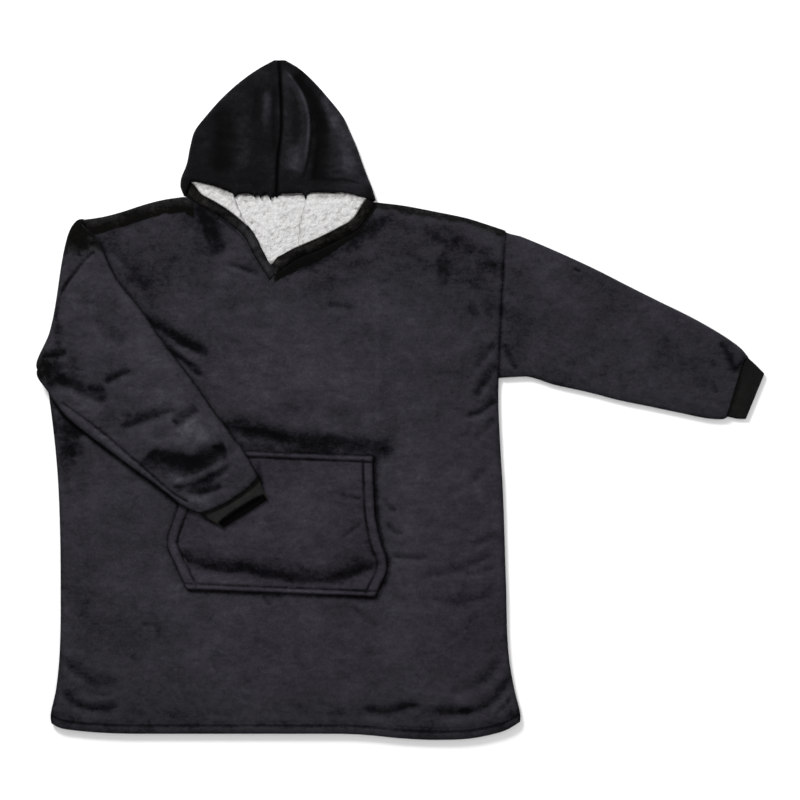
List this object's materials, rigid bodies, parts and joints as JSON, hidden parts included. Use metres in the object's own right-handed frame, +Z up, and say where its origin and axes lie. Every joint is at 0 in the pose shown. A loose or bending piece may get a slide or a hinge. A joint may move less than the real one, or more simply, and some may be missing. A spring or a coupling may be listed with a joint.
{
  "type": "oversized hoodie",
  "caption": "Oversized fleece hoodie with pile lining, laid flat with one sleeve folded over its front, kangaroo pocket and rib cuffs.",
  "frame": {"origin": "middle of the garment's box, on the surface it lies on", "axes": "+X across the garment towards the stretched-out sleeve, +Y from the hem up to the hood, +Z up from the surface, out of the front"},
  "size_m": [1.314, 1.2244, 0.0419],
  "materials": {
    "fleece": "black brushed fleece with a short nap and a soft sheen",
    "rib_knit": "black matte rib knit",
    "pile": "white curly pile"
  },
  "bodies": {
    "root": {"body_back": "fleece", "body_front": "fleece", "pocket": "fleece", "sleeve_right": "fleece", "sleeve_left": "fleece", "cuff_right": "rib_knit", "cuff_left": "rib_knit", "hood_left": "fleece", "hood_right": "fleece", "neckband_left": "fleece", "neckband_right": "fleece", "lining_back": "pile", "lining_left": "pile", "lining_right": "pile"}
  },
  "joints": []
}
